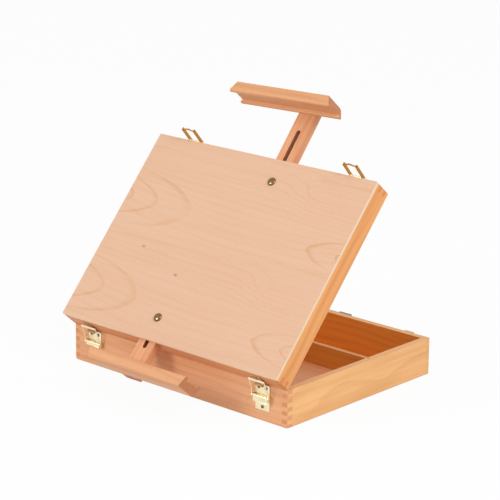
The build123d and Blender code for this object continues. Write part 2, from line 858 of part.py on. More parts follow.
# The handle hangs down: a straight rod through both brackets, closed by a loop with the grip on it
handle_plane = Plane(
    origin=on_plane(rear_face, 0, handle_pivot_z, handle_pivot_out).origin, x_dir=(1, 0, 0), z_dir=(0, 1, 0)
)
rod_end = bracket_inner + bracket_width
with BuildPart() as handle:
    with BuildLine(handle_plane) as rod_path:
        FilletPolyline(
            (-rod_end, 0), (-handle_half_span, 0), (-handle_half_span, handle_reach),
            (handle_half_span, handle_reach), (handle_half_span, 0), (rod_end, 0),
            radius=[handle_rod, handle_bend, handle_bend, handle_rod],
        )
    with BuildSketch(Plane(origin=rod_path.line @ 0, z_dir=rod_path.line % 0)) as rod_section:
        Circle(handle_rod / 2)
    sweep(rod_section.sketch, path=rod_path.line)
    with BuildSketch(side_view(handle_plane)) as straight_section:
        Circle(handle_bar / 2)
    extrude(straight_section.sketch, amount=bracket_inner + handle_rod, both=True)
    grip_half = handle_half_span - handle_bend
    grip_plane = on_plane(handle_plane, 0, handle_reach)
    with BuildSketch(grip_plane) as grip:
        with BuildLine():
            Line((-grip_half, 0), (-grip_half, handle_rod / 2 + grip_shoulder))
            Spline(
                (-grip_half, handle_rod / 2 + grip_shoulder), (-grip_half * 0.6, handle_grip / 2),
                (grip_half * 0.6, handle_grip / 2), (grip_half, handle_rod / 2 + grip_shoulder),
            )
            Line((grip_half, handle_rod / 2 + grip_shoulder), (grip_half, 0))
            Line((grip_half, 0), (-grip_half, 0))
        make_face()
    revolve(grip.sketch, axis=Axis(grip_plane.origin, grip_plane.x_dir))
save(handle, "handle")

with BuildPart() as stay_track:
    side = side_view(Plane(origin=track_plane.origin, x_dir=-track_plane.y_dir, z_dir=track_plane.z_dir))
    raised = track_standoff + track_thickness
    with BuildSketch(side) as section:
        with BuildLine():
            Polyline(
                (track_start - track_foot, 0), (track_start, 0), (track_start, track_standoff),
                (track_end, track_standoff), (track_end, 0), (track_end + track_foot, 0),
                (track_end + track_foot, track_thickness), (track_end + track_thickness, track_thickness),
                (track_end + track_thickness, raised), (track_start - track_thickness, raised),
                (track_start - track_thickness, track_thickness),
                (track_start - track_foot, track_thickness),
                close=True,
            )
        make_face()
    extrude(section.sketch, amount=track_width / 2, both=True)
    with BuildSketch(on_plane(track_plane, z=track_standoff)) as slot:
        with Locations(((slot_first + slot_last) / 2, 0)):
            SlotOverall(slot_last - slot_first, stay_pin_diameter + 2 * stay_pin_play)
    extrude(slot.sketch, amount=track_thickness, mode=Mode.SUBTRACT)
    drill(on_plane(track_plane, z=track_thickness), track_screws, screw_shank, track_thickness)
save(stay_track, "stay_track")

track_screw = round_screw(screw_head, screw_head_height, screw_shank, screw_length + track_thickness)
screw_group(
    "stay_track_screws", track_screw, [on_plane(track_plane, x, y, track_thickness) for x, y in track_screws]
)

stay_outer = stay_face + stay_thickness
with BuildPart() as stay_pivot:
    with BuildSketch(stay_boss_place) as boss:
        Circle(stay_boss_diameter / 2)
    extrude(boss.sketch, amount=stay_face - stay_face_play)
    with BuildSketch(on_plane(stay_boss_place, z=-screw_length)) as pin:
        Circle(stay_pin_diameter / 2)
    extrude(pin.sketch, amount=screw_length + stay_outer + stay_face_play)
    with BuildSketch(on_plane(stay_boss_place, z=stay_outer + stay_face_play)) as head:
        Circle(stay_head_diameter / 2)
    extrude(head.sketch, amount=stay_head_height)
save(stay_pivot, "stay_pivot")

# The strut at rest: from the lid pivot to the pin in the slot
pin_reach = stay_pin_reach(lid_angle)
pin_place = on_plane(track_plane, pin_reach)
strut_run = pin_place.origin - stay_boss_place.origin
strut_plane = Plane(origin=stay_boss_place.origin, x_dir=strut_run, z_dir=(1, 0, 0))

with BuildPart() as stay_arm:
    with BuildSketch(on_plane(strut_plane, z=stay_face)) as strut:
        with Locations((stay_length / 2, 0)):
            SlotCenterToCenter(stay_length, stay_width)
        with Locations((0, 0)):
            Circle(stay_pin_diameter / 2 + bracket_bore_play, mode=Mode.SUBTRACT)
        with Locations((stay_length, 0)):
            Circle(stay_pin_diameter / 2, mode=Mode.SUBTRACT)
    extrude(strut.sketch, amount=stay_thickness)
save(stay_arm, "stay_arm")

head_back = track_standoff - stay_face_play - stay_head_height
pin_tip = stay_outer + thumb_nut_height
with BuildPart() as stay_pin:
    with BuildSketch(on_plane(strut_plane, stay_length, 0, head_back)) as head:
        Circle(stay_head_diameter / 2)
    extrude(head.sketch, amount=stay_head_height)
    with BuildSketch(on_plane(strut_plane, stay_length, 0, head_back)) as shank:
        Circle(stay_pin_diameter / 2)
    extrude(shank.sketch, amount=pin_tip - head_back)
save(stay_pin, "stay_pin")

with BuildPart() as stay_thumb_nut:
    nut_face = on_plane(strut_plane, stay_length, 0, stay_outer + stay_face_play)
    with BuildSketch(nut_face) as knurl:
        Circle(thumb_nut_diameter / 2)
        with PolarLocations(thumb_nut_diameter / 2, thumb_nut_ribs):
            Circle(thumb_nut_rib, mode=Mode.SUBTRACT)
        Circle(stay_pin_diameter / 2 + wing_bore_play, mode=Mode.SUBTRACT)
    extrude(knurl.sketch, amount=thumb_nut_height - stay_face_play)
save(stay_thumb_nut, "stay_thumb_nut")

print("lid pivot", lid_hinge)
print("stay pin reach at rest, shut and open", pin_reach, slot_last, slot_first)
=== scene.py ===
"""Dresses the box easel: wood, plywood, brass and steel, small screws, a stage and the camera.

Every piece is in metres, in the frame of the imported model.
"""

import json
from math import cos, degrees, pi, radians, sin, tau

import bmesh
import bpy
from bpy.props import FloatProperty, FloatVectorProperty, IntProperty, PointerProperty
from mathutils import Matrix, Vector

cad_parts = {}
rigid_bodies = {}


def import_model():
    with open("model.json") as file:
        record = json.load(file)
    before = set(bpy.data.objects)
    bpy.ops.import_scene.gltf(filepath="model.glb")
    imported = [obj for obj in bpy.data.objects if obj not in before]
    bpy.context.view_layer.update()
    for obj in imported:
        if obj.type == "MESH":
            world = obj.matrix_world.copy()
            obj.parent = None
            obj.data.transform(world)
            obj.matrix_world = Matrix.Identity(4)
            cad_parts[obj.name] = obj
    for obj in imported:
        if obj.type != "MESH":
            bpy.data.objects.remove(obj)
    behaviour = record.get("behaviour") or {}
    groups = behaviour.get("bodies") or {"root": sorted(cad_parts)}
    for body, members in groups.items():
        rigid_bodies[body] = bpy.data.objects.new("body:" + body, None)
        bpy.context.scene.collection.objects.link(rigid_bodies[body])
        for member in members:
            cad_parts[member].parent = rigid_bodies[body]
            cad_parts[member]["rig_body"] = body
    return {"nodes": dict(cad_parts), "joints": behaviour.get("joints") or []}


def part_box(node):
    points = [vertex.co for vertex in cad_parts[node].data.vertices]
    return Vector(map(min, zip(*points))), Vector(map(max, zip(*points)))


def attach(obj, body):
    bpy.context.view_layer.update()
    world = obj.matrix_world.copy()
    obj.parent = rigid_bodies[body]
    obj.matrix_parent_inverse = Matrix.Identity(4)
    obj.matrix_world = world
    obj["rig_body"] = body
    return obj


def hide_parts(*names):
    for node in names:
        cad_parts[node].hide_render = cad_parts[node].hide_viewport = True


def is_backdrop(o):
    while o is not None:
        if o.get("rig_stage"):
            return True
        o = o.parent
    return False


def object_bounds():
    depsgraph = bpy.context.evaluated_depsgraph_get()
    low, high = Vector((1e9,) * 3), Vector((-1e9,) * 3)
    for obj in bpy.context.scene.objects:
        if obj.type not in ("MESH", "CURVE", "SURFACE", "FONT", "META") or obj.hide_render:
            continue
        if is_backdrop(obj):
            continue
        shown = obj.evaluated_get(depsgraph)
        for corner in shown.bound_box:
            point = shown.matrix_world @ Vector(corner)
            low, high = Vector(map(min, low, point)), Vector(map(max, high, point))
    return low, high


bl_info = {
    "name": "Box easel",
    "version": (1, 0, 0),
    "blender": (4, 5, 0),
    "location": "View3D > Sidebar > Easel",
    "description": "Finishes the wooden box easel and sets it on a pale floor",
    "category": "Object",
}

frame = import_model()
NODES = frame["nodes"]


def joint_at(name):
    """Where a joint's axis runs."""
    return Vector(next(joint for joint in frame["joints"] if joint["name"] == name)["pos_m"])


def body_of(node):
    """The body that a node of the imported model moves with."""
    return NODES[node]["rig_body"]


HINGE = joint_at("lid_tilt")
LEVEL = Matrix.Identity(3)
QUARTER = Matrix.Rotation(pi / 2, 3, "Z")
UPRIGHT = Matrix.Rotation(pi / 2, 3, "X")
LID_TURN = Matrix.Rotation(radians(49.0), 3, "X")
MAST_TURN = LID_TURN @ Matrix.Rotation(radians(1.75), 3, "Z")

# The lid's directions, and the heights of its board's back and face above the hinge
ACROSS = Vector((1, 0, 0))
BACK = Vector((0, 1, 0))
LID_UP = LID_TURN @ Vector((0, 1, 0))
LID_OUT = LID_TURN @ Vector((0, 0, 1))
BOARD_BACK = 0.0275
BOARD_FACE = 0.031
BOARD_THICKNESS = 0.0035

# What a wood's colour is multiplied by: end grain, late rings, rays, and the painted shade on the
# walls of a slot
END_DARK = (0.66, 0.43, 0.33)
END_PALE = (0.93, 0.86, 0.74)
END_HONEY = (1.0, 0.83, 0.54)
LATE_RING = (0.74, 0.58, 0.40)
RAY = (0.60, 0.42, 0.30)
SLOT_SHADE = (0.32, 0.19, 0.13)

WHITE = (1, 1, 1, 1)
FLOOR_GREY = (0.86, 0.86, 0.86, 1)

# Points nearer than the first are one point, and within the second they are level
SAME = 1e-6
NEAR = 1e-5


def colour_prop(name, what, value):
    """A colour setting, in linear light."""
    return FloatVectorProperty(
        name=name, description=f"Colour of the {what}", subtype="COLOR", size=3, min=0.0, max=1.0,
        default=value,
    )


def length_prop(name, description, value):
    """A length setting, in metres."""
    return FloatProperty(name=name, description=description, default=value, unit="LENGTH")


def angle_prop(name, description, value):
    """An angle setting, given in degrees."""
    return FloatProperty(
        name=name, description=description, default=radians(value), subtype="ANGLE"
    )


class EaselWood(bpy.types.PropertyGroup):
    """Colours and figure of the wood."""

    front: colour_prop("Front boards", "boards whose grain runs across", (0.80, 0.41, 0.215))
    sides: colour_prop("Side boards", "boards whose grain runs front to back", (0.93, 0.52, 0.225))
    rails: colour_prop("Lid sides", "lid's side rails", (0.85, 0.39, 0.135))
    lid_front: colour_prop("Lid front", "lid's front and rear rails", (0.73, 0.305, 0.11))
    arms: colour_prop("Arms", "mast and the lower arm", (0.78, 0.385, 0.20))
    bars: colour_prop("Bars", "clamp and the ledge", (0.74, 0.375, 0.185))
    # Not the wood's own colour: a deeper, redder tone painted as the shade within the box
    inside: colour_prop("Inside", "floor, divider and rear wall inside", (0.86, 0.375, 0.07))
    face: colour_prop("Board face", "plywood face", (0.745, 0.47, 0.315))
    ply_edge: colour_prop("Board edge", "cut plywood edge", (0.93, 0.74, 0.52))
    ring: length_prop("Ring spacing", "Distance between growth rings", 0.0034)
    figure: length_prop("Figure spacing", "Distance between the lines of the plywood", 0.0142)
    soft_edge: length_prop("Sanded edge", "Width of the sanded edge of a bar", 0.0005)


class EaselMetal(bpy.types.PropertyGroup):
    """Colours and small sizes of the metal parts."""

    brass: colour_prop("Brass plate", "latches and the stay", (0.90, 0.80, 0.55))
    # Darker than the plated metal: a painted reflection of a dark room on the bolt domes, and painted
    # shade in the screws' recesses
    bolt: colour_prop("Bolts", "carriage bolts and the small screws", (0.24, 0.15, 0.075))
    # Brass darkened as painted shade, for the catches that sit in shade on the lid's rails
    catch_shade: colour_prop("Aged brass", "catches", (0.50, 0.32, 0.17))
    amber: colour_prop("Rear bails", "rear latches' bails", (0.50, 0.22, 0.04))
    zinc: colour_prop("Zinc", "nuts and washers", (0.62, 0.60, 0.56))
    dark: colour_prop("Handle", "handle and its brackets", (0.30, 0.26, 0.20))
    recess: length_prop("Recess", "Width of a small screw's cross recess", 0.0024)
    soft_edge: length_prop("Rolled edge", "Width of a stamped edge", 0.0002)
    bolt_head: length_prop("Bolt head", "Width of a carriage bolt's dome", 0.0126)
    segments: IntProperty(
        name="Segments", description="Facets round a screw's head", default=24, min=8
    )


class EaselStage(bpy.types.PropertyGroup):
    """The camera and the light."""

    azimuth: angle_prop("Azimuth", "Camera's turn round the easel", 42.32)
    elevation: angle_prop("Elevation", "Camera's height as an angle", 16.07)
    roll: angle_prop("Roll", "Camera's turn about its view", 0.56)
    distance: length_prop("Distance", "From the camera to its target", 3.0575)
    target: FloatVectorProperty(
        name="Target", description="Point in the middle of the picture",
        default=(-0.1187, 0.1263, 0.120), subtype="XYZ", unit="LENGTH",
    )
    lens: FloatProperty(name="Lens", description="Focal length in mm", default=150.13)
    daylight: FloatProperty(
        name="Daylight", description="Strength of the room's light", default=0.56
    )


class Value:
    """A shader socket that takes part in sums."""

    def __init__(self, finish, socket):
        self.finish = finish
        self.socket = socket

    def __add__(self, other):
        return self.finish.maths("ADD", self, other)

    __radd__ = __add__

    def __mul__(self, other):
        return self.finish.maths("MULTIPLY", self, other)

    __rmul__ = __mul__

    def __sub__(self, other):
        return self.finish.maths("SUBTRACT", self, other)

    def __rsub__(self, other):
        return self.finish.maths("SUBTRACT", other, self)

    def __truediv__(self, other):
        return self.finish.maths("DIVIDE", self, other)

    def __rtruediv__(self, other):
        return self.finish.maths("DIVIDE", other, self)

    def __pow__(self, other):
        return self.finish.maths("POWER", self, other)

    def __rpow__(self, other):
        return self.finish.maths("POWER", other, self)

    def __lt__(self, other):
        return self.finish.maths("LESS_THAN", self, other)

    def __gt__(self, other):
        return self.finish.maths("GREATER_THAN", self, other)

    def __abs__(self):
        return self.finish.maths("ABSOLUTE", self)


class Finish:
    """The nodes of a material, or of the world."""

    def __init__(self, owner, ending="ShaderNodeOutputMaterial"):
        self.owner = owner
        self.ending = ending
        owner.use_nodes = True
        self.tree = owner.node_tree
        self.tree.nodes.clear()

    def node(self, kind, settings=None, sockets=None, output=0):
        """Adds a node: its settings first, then its sockets' values or links."""
        node = self.tree.nodes.new(kind)
        for key, value in (settings or {}).items():
            setattr(node, key, value)
        for key, value in (sockets or {}).items():
            if isinstance(value, Value):
                self.tree.links.new(value.socket, node.inputs[key])
            else:
                node.inputs[key].default_value = value
        return Value(self, node.outputs[output]) if node.outputs else None

    def maths(self, operation, *values):
        return self.node("ShaderNodeMath", {"operation": operation}, dict(enumerate(values)))

    def local(self, kind, origin, turn):
        """A board's coordinates or its normal, in its own axes: grain along x, width along y."""
        mapped = self.node(
            "ShaderNodeMapping",
            {"vector_type": "TEXTURE"},
            {
                "Vector": self.node("ShaderNodeTexCoord", output=kind),
                "Location": tuple(origin),
                "Rotation": tuple(turn.to_euler()),
            },
        )
        parts = self.node("ShaderNodeSeparateXYZ", sockets={"Vector": mapped}).socket.node
        return [Value(self, socket) for socket in parts.outputs]

    def noise(self, x, y, z, detail=2.0, roughness=0.5):
        """Soft noise from 0 to 1, with blots about one unit wide."""
        place = self.node("ShaderNodeCombineXYZ", sockets={"X": x, "Y": y, "Z": z})
        sockets = {"Vector": place, "Scale": 1.0, "Detail": detail, "Roughness": roughness}
        return self.node("ShaderNodeTexNoise", sockets=sockets)

    def step(self, value, low, high, out_low=0.0, out_high=1.0):
        """Goes smoothly from one number to another as a value does."""
        return self.node(
            "ShaderNodeMapRange",
            {"interpolation_type": "SMOOTHSTEP"},
            {
                "Value": value, "From Min": low, "From Max": high,
                "To Min": out_low, "To Max": out_high,
            },
        )

    def band(self, value, start, full, wane, end):
        """Rises from 0 to 1 between start and full, and falls back between wane and end."""
        return self.step(value, start, full) * self.step(value, wane, end, 1.0, 0.0)

    def mix(self, factor, first, second):
        """One colour turning into another; 6 and 7 are the colour sockets, 2 the colour out."""
        first, second = (
            tone if isinstance(tone, Value) else (*tone, 1.0) for tone in (first, second)
        )
        sockets = {"Factor": factor, 6: first, 7: second}
        return self.node("ShaderNodeMix", {"data_type": "RGBA"}, sockets, output=2)

    def bump(self, height, strength, distance):
        sockets = {"Height": height, "Strength": strength, "Distance": distance}
        return self.node("ShaderNodeBump", sockets=sockets, output="Normal")

    def rays(self):
        """Whether a ray comes from the camera, from gloss or through a clear piece."""
        path = self.node("ShaderNodeLightPath").socket.node
        kinds = ("Camera", "Glossy", "Transmission")
        return [Value(self, path.outputs[f"Is {kind} Ray"]) for kind in kinds]

    def end(self, shader):
        """Puts a shader on the surface, and returns what it finishes."""
        self.node(self.ending, sockets={"Surface": shader})
        return self.owner

    def done(self, **sockets):
        """Ends a material with one shader and returns it."""
        named = {key.replace("_", " "): value for key, value in sockets.items()}
        return self.end(self.node("ShaderNodeBsdfPrincipled", sockets=named, output="BSDF"))


def shade(tone, factor):
    """A colour made lighter or darker."""
    return tint(tone, (factor, factor, factor))


def tint(tone, factors):
    """A colour with each channel changed by its own factor."""
    return tuple(min(1.0, channel * factor) for channel, factor in zip(tone, factors))


def solid_wood(
    name, tone, origin, turn, seed, ring, ends=END_DARK, slot=0.0, flank=None, both=False
):
    """Beech-like wood: growth rings round a far heart, fine fibres and short rays.

    The end grain is the tone times ends. The walls of a slot along the grain get painted shade,
    and slot is its half width. One broad side, or both, may take a second tone of painted shade,
    deeper and redder, for the faces within the box.
    """
    finish = Finish(bpy.data.materials.new(name))
    x, y, z = finish.local("Object", origin, turn)
    facing_along, _, facing_through = finish.local("Normal", (0, 0, 0), turn)
    sway = finish.noise(x * 3.0, y * 9.0, z * 9.0 + seed) - 0.5
    across = y + (0.035 + 0.013 * (seed % 5)) + x * 0.02
    through = z + (0.05 + 0.009 * (seed % 7))
    radius = (across * across * 0.35 + through * through) ** 0.5 + sway * 0.016
    late = finish.band(finish.maths("FRACT", radius / ring), 0.35, 0.93, 0.94, 1.0)
    fibre = finish.noise(x * 14.0, y * 520.0, z * 520.0 + seed, 3.0, 0.6)
    streak = finish.noise(x * 2.2, y * 75.0, z * 75.0 - seed, 3.0, 0.55)
    cloud = finish.noise(x * 5.0, y * 12.0 + seed, z * 12.0)
    fleck = finish.noise(x * 150.0, y * 900.0, z * 900.0 + seed * 3.0, 0.0)
    rays = finish.step(fleck, 0.66, 0.76)
    end = finish.step(abs(facing_along), 0.55, 0.85)
    darker = late * 0.20 + (streak - 0.5) * 0.95 + (fibre - 0.5) * 0.42 + (cloud - 0.5) * 0.50
    darker = darker + 0.25
    base = finish.mix(darker, shade(tone, 1.10), tint(tone, LATE_RING))
    # Faces turned into the box take the painted shade tone instead of the wood's own tone
    if flank:
        broad = finish.step(abs(facing_through) if both else facing_through, 0.3, 0.7)
        inner = finish.mix(darker, shade(flank, 1.10), tint(flank, LATE_RING))
        base = finish.mix(broad, base, inner)
    base = finish.mix(rays * (1.0 - end) * 0.16, base, tint(tone, RAY))
    base = finish.mix(end * 0.78, base, tint(tone, ends))
    if slot:
        # Painted shade: the walls of a slot along the grain are darkened
        wall = (abs(y) < slot) * (abs(facing_through) < 0.5)
        base = finish.mix(wall * 0.80, base, tint(tone, SLOT_SHADE))
    return finish.done(
        Base_Color=base,
        Roughness=finish.step(streak, 0.25, 0.75, 0.50, 0.60),
        Normal=finish.bump(fibre * 0.5 + streak * 0.5 - rays * 0.4, 0.25, 0.00015),
    )


def plywood(name, face, edge, spacing):
    """Rotary-cut veneer: arches at both sides that repeat up the board, and a pale layered edge."""
    figure_tone = (0.66, 0.335, 0.155)
    pore_tone = (0.50, 0.25, 0.12)
    knot_tone = (0.30, 0.13, 0.05)
    finish = Finish(bpy.data.materials.new(name))
    x, s, t = finish.local("Object", HINGE, LID_TURN)
    waver = finish.noise(x * 6.0, s * 22.0, t, 3.0) - 0.5
    fine = finish.noise(x * 30.0, s * 160.0, t) - 0.5
    # The arches point along a middle line, first at 188.5 mm up and then every period
    period = 0.1415
    turned = (s + x * 0.0375 + (period * 2.5 - 0.1885)) / period
    count = finish.maths("FLOOR", turned)
    away = (turned - count - 0.5) * period * finish.step(x, 0.05, 0.13, 1.0, 1.75) + waver * 0.004
    left_of = x + (2.0 - count) * 0.013 - 0.050
    reach = left_of + finish.maths("MAXIMUM", left_of, 0.0) * 0.33
    bulge = 0.0425 - reach * reach * 0.68
    near = finish.maths("EXPONENT", away * away * -625.0)
    level = (away * away + 0.000256) ** 0.5 + bulge * near + waver * 0.0030 + fine * 0.0009
    lines = level / spacing + 0.59
    line = finish.band(finish.maths("FRACT", lines), 0.72, 0.95, 0.95, 0.99)
    # Thin faint lines run between the arches
    thin = finish.noise(x * 9.0, s * 60.0, t) - 0.5
    between = finish.maths("FRACT", (s + x * 0.03) / 0.0105 + thin * 0.9 + lines * 0.6)
    faint = finish.band(between, 0.60, 0.94, 0.94, 1.0)
    strength = finish.step(near, 0.15, 0.7, 0.30, 1.0) * finish.step(abs(x), 0.06, 0.13, 0.45, 1.0)
    fade = finish.step(finish.noise(x * 4.0, s * 30.0, t, 1.0), 0.3, 0.65, 0.35, 1.0)
    fibre = finish.noise(x * 16.0, s * 420.0, t * 10.0, 3.0, 0.6)
    streak = finish.noise(x * 3.0, s * 90.0, t * 10.0, 3.0)
    cloud = finish.noise(x * 7.0, s * 9.0, t)
    speck = finish.step(finish.noise(x * 220.0, s * 1100.0, t, 0.0), 0.68, 0.78)
    amount = (
        line * strength * fade * 0.62 + faint * fade * 0.22
        + (streak - 0.5) * 0.42 + (fibre - 0.5) * 0.22 + (cloud - 0.5) * 0.25 + 0.06
    )
    base = finish.mix(amount, shade(face, 1.02), figure_tone)
    base = finish.mix(speck * 0.22, base, pore_tone)
    for knot_x, knot_s, size in ((-0.0425, 0.099, 0.0016), (-0.122, 0.127, 0.0014)):
        off_x = (x - knot_x) * 0.55
        off_s = s - knot_s
        dot = finish.maths("EXPONENT", (off_x * off_x + off_s * off_s) * (-1.0 / size**2))
        base = finish.mix(dot * 0.8, base, knot_tone)
    # The cut edge shows three layers
    core = finish.band((t - BOARD_BACK) / BOARD_THICKNESS, 0.22, 0.27, 0.73, 0.78)
    grains = finish.noise(x * 260.0, s * 260.0, t * 900.0)
    cut = finish.mix(core * 0.30 + (grains - 0.5) * 0.25, edge, shade(edge, 0.72))
    up = abs(finish.local("Normal", (0, 0, 0), LID_TURN)[2])
    base = finish.mix(finish.step(up, 0.55, 0.85), cut, base)
    return finish.done(
        Base_Color=base,
        Roughness=finish.step(streak, 0.25, 0.75, 0.48, 0.58),
        Normal=finish.bump(fibre * 0.6 + streak * 0.4, 0.18, 0.00012),
    )


def plated(name, tone, rough, seed):
    """Bright plated sheet with a little tarnish and fine rolling marks."""
    finish = Finish(bpy.data.materials.new(name))
    x, y, z = finish.local("Object", (0, 0, 0), LEVEL)
    spots = 90.0 + seed
    cloud = finish.noise(x * spots, y * spots, z * spots, 3.0)
    marks = finish.noise(x * 1400.0, y * 1400.0, z * 160.0)
    base = finish.mix(finish.step(cloud, 0.45, 0.8), tone, tint(tone, (0.90, 0.84, 0.74)))
    return finish.done(
        Base_Color=base,
        Metallic=1.0,
        Roughness=finish.step(cloud + (marks - 0.5) * 0.3, 0.3, 0.8, rough, rough + 0.10),
    )


def paint(node, material):
    """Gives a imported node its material."""
    slots = NODES[node].data.materials
    slots.clear()
    slots.append(material)


def grain(node, tone, turn, seed, ring, **looks):
    """Gives a packed board a wood of its own, centred on the board."""
    low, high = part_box(node)
    paint(node, solid_wood(f"wood {node}", tone, (low + high) / 2, turn, seed, ring, **looks))


def round_edges(thing, width, sharper):
    """Rounds the edges of a thing that are sharper than an angle in degrees."""
    bevel = thing.modifiers.new("Edge", "BEVEL")
    bevel.width = width
    bevel.segments = 2
    bevel.limit_method = "ANGLE"
    bevel.angle_limit = radians(sharper)
    return bevel


def soften(node, width):
    """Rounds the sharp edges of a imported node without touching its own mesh."""
    weld = NODES[node].modifiers.new("Join", "WELD")
    weld.merge_threshold = SAME
    round_edges(NODES[node], width, 40).miter_outer = "MITER_ARC"


def new_object(name, maker, material):
    """A new object from a bmesh."""
    mesh = bpy.data.meshes.new(name)
    maker.to_mesh(mesh)
    maker.free()
    mesh.materials.append(material)
    thing = bpy.data.objects.new(name, mesh)
    bpy.context.scene.collection.objects.link(thing)
    return thing


def piece(name, maker, material, body):
    """A new object from a bmesh, which rides on a body."""
    bmesh.ops.recalc_face_normals(maker, faces=maker.faces)
    thing = new_object(name, maker, material)
    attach(thing, body)
    return thing


def islands(node):
    """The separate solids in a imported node, in the mesh's own order, each as its list of points."""
    maker = bmesh.new()
    maker.from_mesh(NODES[node].data)
    bmesh.ops.remove_doubles(maker, verts=maker.verts, dist=SAME)
    seen = set()
    groups = []
    for first in maker.verts:
        if first in seen:
            continue
        seen.add(first)
        group = [first]
        for vert in group:
            for link in vert.link_edges:
                other = link.other_vert(vert)
                if other not in seen:
                    seen.add(other)
                    group.append(other)
        groups.append([vert.co.copy() for vert in group])
    maker.free()
    return groups


def stand(out, across):
    """A turn whose z runs out and whose x runs across."""
    out = out.normalized()
    across = (across - out * across.dot(out)).normalized()
    return Matrix((across, out.cross(across), out)).transposed()


def full_turn(maker, geom, axis, steps):
    """Spins points and edges once round an axis through the middle."""
    bmesh.ops.spin(
        maker, geom=geom, cent=(0, 0, 0), axis=axis, angle=tau, steps=steps,
        use_merge=True, use_duplicate=False,
    )


def block(maker, size, centre):
    """Adds a box to a mesh and returns its corners."""
    verts = bmesh.ops.create_cube(maker, size=1.0)["verts"]
    bmesh.ops.scale(maker, verts=verts, vec=size)
    bmesh.ops.translate(maker, verts=verts, vec=centre)
    return verts


def spun(points, segments):
    """A turned solid: its outline runs from its axis to its axis, as radius and height."""
    maker = bmesh.new()
    verts = [maker.verts.new((radius, 0.0, height)) for radius, height in points]
    edges = [maker.edges.new(pair) for pair in zip(verts, verts[1:])]
    full_turn(maker, verts + edges, (0, 0, 1), segments)
    bmesh.ops.remove_doubles(maker, verts=maker.verts, dist=SAME)
    return maker


def cut_with(maker, cutter):
    """A mesh with another mesh cut out of it."""
    solid = bpy.data.objects.new("solid", bpy.data.meshes.new("solid"))
    tool = bpy.data.objects.new("tool", bpy.data.meshes.new("tool"))
    for thing, shape in ((solid, maker), (tool, cutter)):
        bmesh.ops.recalc_face_normals(shape, faces=shape.faces)
        shape.to_mesh(thing.data)
        shape.free()
        bpy.context.scene.collection.objects.link(thing)
    boolean = solid.modifiers.new("cut", "BOOLEAN")
    boolean.object = tool
    boolean.solver = "EXACT"
    boolean.use_self = True
    bpy.context.view_layer.update()
    finished = solid.evaluated_get(bpy.context.evaluated_depsgraph_get())
    mesh = bpy.data.meshes.new_from_object(finished)
    for thing in (solid, tool):
        old = thing.data
        bpy.data.objects.remove(thing)
        bpy.data.meshes.remove(old)
    return mesh


def cross_screw(head, height, shank, length, recess, segments):
    """A round-headed wood screw with a cross recess, standing with its head up from z = 0."""
    rim = 0.28
    outline = [(0.0, height)]
    for step in range(1, 9):
        tilt = step * pi / 16
        outline.append((head / 2 * sin(tilt), height * (rim + (1.0 - rim) * cos(tilt))))
    outline += [(head / 2, 0.0), (shank / 2, 0.0)]
    pitch = shank * 0.45
    turns = int((length - shank) / pitch)
    for turn in range(1, turns):
        outline.append((shank * 0.36, -pitch * (turn - 0.5)))
        outline.append((shank / 2, -pitch * turn))
    outline += [(shank * 0.34, -pitch * turns), (0.0, -length)]
    maker = spun(outline, segments)
    cutter = bmesh.new()
    for turn in (0.0, pi / 2):
        arm = block(cutter, (recess, recess * 0.27, height * 1.5), (0, 0, height * 1.15))
        low = [vert for vert in arm if vert.co.z < height]
        bmesh.ops.scale(cutter, verts=low, vec=(0.55, 0.8, 1.0))
        bmesh.ops.rotate(cutter, verts=arm, cent=(0, 0, 0), matrix=Matrix.Rotation(turn, 3, "Z"))
    return cut_with(maker, cutter)


def smooth_below(mesh, angle):
    """Shades a mesh smooth, apart from edges sharper than an angle."""
    mesh.shade_smooth()
    maker = bmesh.new()
    maker.from_mesh(mesh)
    for edge in maker.edges:
        edge.smooth = edge.is_manifold and edge.calc_face_angle(0.0) < angle
    maker.to_mesh(mesh)
    maker.free()


def screws(name, node, pattern, height, out, material):
    """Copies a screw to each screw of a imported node, turned its own way, and replaces the node."""
    maker = bmesh.new()
    turn = stand(out, BACK if abs(out.x) > 0.5 else ACROSS)
    for number, group in enumerate(islands(node)):
        top = max(point.dot(out) for point in group)
        tip = min(point.dot(out) for point in group)
        on_axis = [point for point in group if not tip + NEAR <= point.dot(out) <= top - NEAR]
        middle = sum(on_axis, Vector()) / len(on_axis)
        seat = middle + out * (top - height - middle.dot(out))
        start = len(maker.verts)
        maker.from_mesh(pattern)
        maker.verts.ensure_lookup_table()
        own = turn @ Matrix.Rotation(0.4 + number * 1.1, 3, "Z")
        place = Matrix.Translation(seat) @ own.to_4x4()
        bmesh.ops.transform(maker, matrix=place, verts=maker.verts[start:])
    thing = piece(name, maker, material, body_of(node))
    smooth_below(thing.data, radians(38))
    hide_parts(node)
    return thing


def folded_sheet(width, start, moves):
    """A bent sheet. Its moves are ('bend', centre, angle) and ('run', step), as y and z."""
    maker = bmesh.new()
    ends = [maker.verts.new((side * width / 2, *start)) for side in (-1, 1)]
    edge = [maker.edges.new(ends)]
    for kind, *numbers in moves:
        if kind == "bend":
            (centre_y, centre_z), angle = numbers
            steps = max(3, int(abs(degrees(angle)) / 12))
            made = bmesh.ops.spin(
                maker, geom=edge, cent=(0, centre_y, centre_z), axis=(1, 0, 0), angle=angle,
                steps=steps,
            )["geom_last"]
        else:
            made = bmesh.ops.extrude_edge_only(maker, edges=edge)["geom"]
            verts = [item for item in made if isinstance(item, bmesh.types.BMVert)]
            bmesh.ops.translate(maker, verts=verts, vec=(0, *numbers[0]))
        edge = [
            item for item in made
            if isinstance(item, bmesh.types.BMEdge)
            and abs(item.verts[0].co.x - item.verts[1].co.x) > width * 0.9
            and (kind == "bend" or all(vert in verts for vert in item.verts))
        ]
    bmesh.ops.remove_doubles(maker, verts=maker.verts, dist=SAME)
    bmesh.ops.recalc_face_normals(maker, faces=maker.faces)
    return maker


def put(maker, origin, turn):
    """Moves a mesh from its own axes to its place."""
    bmesh.ops.transform(maker, matrix=Matrix.Translation(origin) @ turn.to_4x4(), verts=maker.verts)


